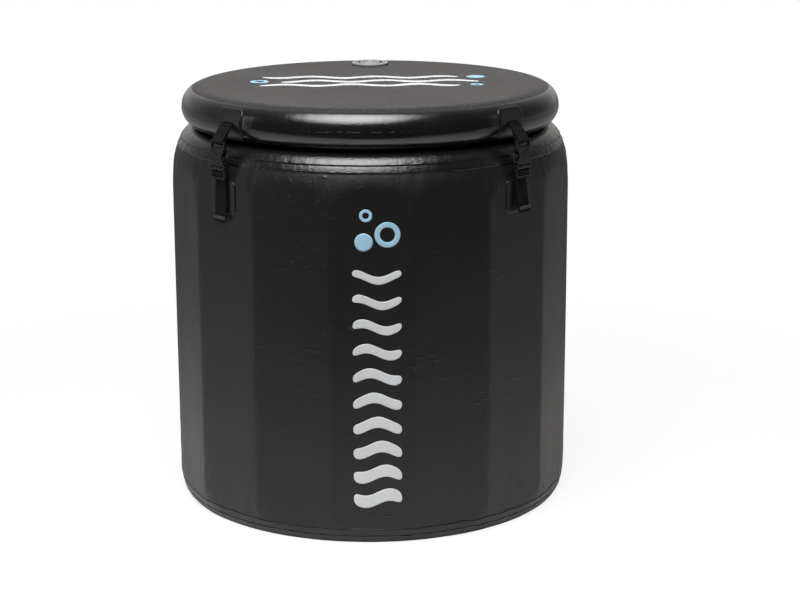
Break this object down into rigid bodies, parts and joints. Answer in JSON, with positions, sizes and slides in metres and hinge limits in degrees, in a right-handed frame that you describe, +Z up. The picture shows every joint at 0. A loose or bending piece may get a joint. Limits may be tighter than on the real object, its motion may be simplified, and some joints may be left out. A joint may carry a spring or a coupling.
{
  "type": "cold plunge tub",
  "caption": "Inflatable upright cold plunge tub with a flat-panelled drop-stitch wall, a round inflated lid on buckled straps, air valves and a drain tap.",
  "frame": {"origin": "on the floor, at the middle of the tub's flat underside", "axes": "+Z up along the tub's axis; the wall panel that faces the viewer in the picture faces -Y, and the drain tap is on the +Y side"},
  "size_m": [0.7887, 0.8514, 0.8353],
  "materials": {
    "drop_stitch_pvc": "satin",
    "pvc_tape": "satin",
    "webbing": "matte",
    "buckle_plastic": "satin",
    "valve_plastic": "satin",
    "seal_rubber": "matte",
    "spring_steel": "satin",
    "drain_plastic": "satin",
    "drain_ball_plastic": "gloss"
  },
  "bodies": {
    "tub": {"base_cover_tape": "pvc_tape", "base_tape": "pvc_tape", "drain_body": "drain_plastic", "drain_gasket": "seal_rubber", "drain_nut": "drain_plastic", "drain_seats": "drain_ball_plastic", "drain_spout": "drain_plastic", "floor_seam_tape": "pvc_tape", "front_left_buckle_plug": "buckle_plastic", "front_left_tub_webbing": "webbing", "front_right_buckle_plug": "buckle_plastic", "front_right_tub_webbing": "webbing", "rear_left_buckle_plug": "buckle_plastic", "rear_left_tub_webbing": "webbing", "rear_right_buckle_plug": "buckle_plastic", "rear_right_tub_webbing": "webbing", "rim_cover_tape": "pvc_tape", "rim_tape": "pvc_tape", "tub_floor": "drop_stitch_pvc", "tub_wall": "drop_stitch_pvc", "wall_strap_patches": "pvc_tape", "wall_valve_body": "valve_plastic", "wall_valve_gasket": "seal_rubber", "wall_valve_nut": "valve_plastic", "wall_valve_spring": "spring_steel"},
    "lid": {"front_left_buckle_socket": "buckle_plastic", "front_left_lid_webbing": "webbing", "front_right_buckle_socket": "buckle_plastic", "front_right_lid_webbing": "webbing", "lid_cover_tape": "pvc_tape", "lid_panel": "drop_stitch_pvc", "lid_rim_tape": "pvc_tape", "lid_strap_patches": "pvc_tape", "lid_valve_body": "valve_plastic", "lid_valve_gasket": "seal_rubber", "lid_valve_nut": "valve_plastic", "lid_valve_spring": "spring_steel", "rear_left_buckle_socket": "buckle_plastic", "rear_left_lid_webbing": "webbing", "rear_right_buckle_socket": "buckle_plastic", "rear_right_lid_webbing": "webbing"},
    "drain_handle": {"drain_ball": "drain_ball_plastic", "drain_lever": "drain_plastic"},
    "front_left_prong_left": {"front_left_prong_left": "buckle_plastic"},
    "front_left_prong_right": {"front_left_prong_right": "buckle_plastic"},
    "front_right_prong_left": {"front_right_prong_left": "buckle_plastic"},
    "front_right_prong_right": {"front_right_prong_right": "buckle_plastic"},
    "lid_valve_cap": {"lid_valve_cap": "valve_plastic"},
    "lid_valve_cap_seal": {"lid_valve_cap_seal": "seal_rubber"},
    "lid_valve_stem": {"lid_valve_stem": "valve_plastic"},
    "rear_left_prong_left": {"rear_left_prong_left": "buckle_plastic"},
    "rear_left_prong_right": {"rear_left_prong_right": "buckle_plastic"},
    "rear_right_prong_left": {"rear_right_prong_left": "buckle_plastic"},
    "rear_right_prong_right": {"rear_right_prong_right": "buckle_plastic"},
    "wall_valve_cap": {"wall_valve_cap": "valve_plastic"},
    "wall_valve_cap_seal": {"wall_valve_cap_seal": "seal_rubber"},
    "wall_valve_stem": {"wall_valve_stem": "valve_plastic"}
  },
  "joints": [
    {"name": "lid_lift", "type": "slide", "parent": "tub", "child": "lid", "axis": [0, 0, 1], "range_m": [0, 0.4]},
    {"name": "front_left_left_squeeze", "type": "hinge", "parent": "tub", "child": "front_left_prong_left", "pos_m": [-0.29373, -0.2762, 0.7133], "axis": [0.7071, 0.7071, 0], "range_deg": [0, 9], "stiffness_Nm_per_rad": 0.5},
    {"name": "front_left_right_squeeze", "type": "hinge", "parent": "tub", "child": "front_left_prong_right", "pos_m": [-0.2762, -0.29373, 0.7133], "axis": [-0.7071, -0.7071, 0], "range_deg": [0, 9], "stiffness_Nm_per_rad": 0.5},
    {"name": "front_right_left_squeeze", "type": "hinge", "parent": "tub", "child": "front_right_prong_left", "pos_m": [0.2762, -0.29373, 0.7133], "axis": [-0.7071, 0.7071, 0], "range_deg": [0, 9], "stiffness_Nm_per_rad": 0.5},
    {"name": "front_right_right_squeeze", "type": "hinge", "parent": "tub", "child": "front_right_prong_right", "pos_m": [0.29373, -0.2762, 0.7133], "axis": [0.7071, -0.7071, 0], "range_deg": [0, 9], "stiffness_Nm_per_rad": 0.5},
    {"name": "rear_right_left_squeeze", "type": "hinge", "parent": "tub", "child": "rear_right_prong_left", "pos_m": [0.29373, 0.2762, 0.7133], "axis": [-0.7071, -0.7071, 0], "range_deg": [0, 9], "stiffness_Nm_per_rad": 0.5},
    {"name": "rear_right_right_squeeze", "type": "hinge", "parent": "tub", "child": "rear_right_prong_right", "pos_m": [0.2762, 0.29373, 0.7133], "axis": [0.7071, 0.7071, 0], "range_deg": [0, 9], "stiffness_Nm_per_rad": 0.5},
    {"name": "rear_left_left_squeeze", "type": "hinge", "parent": "tub", "child": "rear_left_prong_left", "pos_m": [-0.2762, 0.29373, 0.7133], "axis": [0.7071, -0.7071, 0], "range_deg": [0, 9], "stiffness_Nm_per_rad": 0.5},
    {"name": "rear_left_right_squeeze", "type": "hinge", "parent": "tub", "child": "rear_left_prong_right", "pos_m": [-0.29373, 0.2762, 0.7133], "axis": [-0.7071, 0.7071, 0], "range_deg": [0, 9], "stiffness_Nm_per_rad": 0.5},
    {"name": "lid_valve_press", "type": "slide", "parent": "lid", "child": "lid_valve_stem", "axis": [0, 0, -1], "range_m": [0, 0.005], "stiffness_N_per_m": 600, "deforming": ["lid_valve_spring"]},
    {"name": "lid_valve_cap_lift", "type": "slide", "parent": "lid", "child": "lid_valve_cap_seal", "axis": [0, 0, 1], "range_m": [0, 0.06]},
    {"name": "lid_valve_cap_turn", "type": "hinge", "parent": "lid_valve_cap_seal", "child": "lid_valve_cap", "pos_m": [0, 0.28, 0.8303], "axis": [0, 0, 1], "range_deg": [0, 90]},
    {"name": "wall_valve_press", "type": "slide", "parent": "tub", "child": "wall_valve_stem", "axis": [0, -1, 0], "range_m": [0, 0.005], "stiffness_N_per_m": 600, "deforming": ["wall_valve_spring"]},
    {"name": "wall_valve_cap_lift", "type": "slide", "parent": "tub", "child": "wall_valve_cap_seal", "axis": [0, 1, 0], "range_m": [0, 0.06]},
    {"name": "wall_valve_cap_turn", "type": "hinge", "parent": "wall_valve_cap_seal", "child": "wall_valve_cap", "pos_m": [0, 0.393, 0.56], "axis": [0, 1, 0], "range_deg": [0, 90]},
    {"name": "drain_turn", "type": "hinge", "parent": "tub", "child": "drain_handle", "pos_m": [0, 0.418, 0.115], "axis": [0, 0, 1], "range_deg": [0, 90]}
  ]
}
